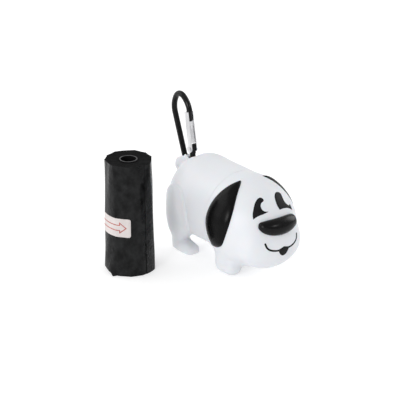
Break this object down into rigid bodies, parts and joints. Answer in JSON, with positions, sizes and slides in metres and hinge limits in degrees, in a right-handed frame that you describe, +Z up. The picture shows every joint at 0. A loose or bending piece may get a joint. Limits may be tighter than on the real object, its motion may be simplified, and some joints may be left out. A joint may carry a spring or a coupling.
{
  "type": "dog waste bag dispenser",
  "caption": "Puppy-shaped hollow waste bag dispenser with a pull-off head, rear bag outlet, snap hook through the tail and a spare bag roll.",
  "frame": {"origin": "on the floor in the middle of the stance, under the middle of the back, in the plane of the soles", "axes": "+Z up, the puppy looks along -Y, its right side and the spare roll are towards -X"},
  "size_m": [0.0897, 0.0943, 0.0822],
  "materials": {
    "white_vinyl": "satin",
    "black_vinyl": "satin",
    "black_gloss": "gloss",
    "black_anodised": "satin",
    "bright_aluminium": "bright",
    "spring_steel": "drawn",
    "black_film": "gloss",
    "core_board": "matte",
    "label_paper": "satin",
    "red_ink": "matte"
  },
  "bodies": {
    "dispenser": {"rear_shell": "white_vinyl"},
    "head": {"front_shell": "white_vinyl", "ear_right": "black_vinyl", "ear_left": "black_vinyl", "nose": "black_gloss", "eye_right": "black_gloss", "eye_left": "black_gloss", "smile_line": "black_gloss", "tongue_print": "black_gloss"},
    "hook": {"hook_body": "black_anodised"},
    "gate": {"hook_gate": "bright_aluminium", "gate_rivet": "bright_aluminium", "gate_spring": "spring_steel"},
    "spare_roll": {"bag_roll": "black_film", "roll_core": "core_board", "roll_flap": "black_film", "roll_label": "label_paper", "label_arrow": "red_ink"}
  },
  "joints": [
    {"name": "head_pull", "type": "slide", "parent": "dispenser", "child": "head", "axis": [0, -1, 0], "range_m": [0, 0.075]},
    {"name": "hook_swing", "type": "hinge", "parent": "dispenser", "child": "hook", "pos_m": [0, 0.0332, 0.0469], "axis": [-1, 0, 0], "range_deg": [-20, 70]},
    {"name": "gate_pivot", "type": "hinge", "parent": "hook", "child": "gate", "pos_m": [0, 0.0301, 0.05194], "axis": [-1, 0, 0], "range_deg": [0, 24], "stiffness_Nm_per_rad": 0.02, "springref_deg": -20.05},
    {"name": "roll_lift", "type": "slide", "parent": "dispenser", "child": "spare_roll", "axis": [0, 0, 1], "range_m": [0, 0.1]}
  ]
}
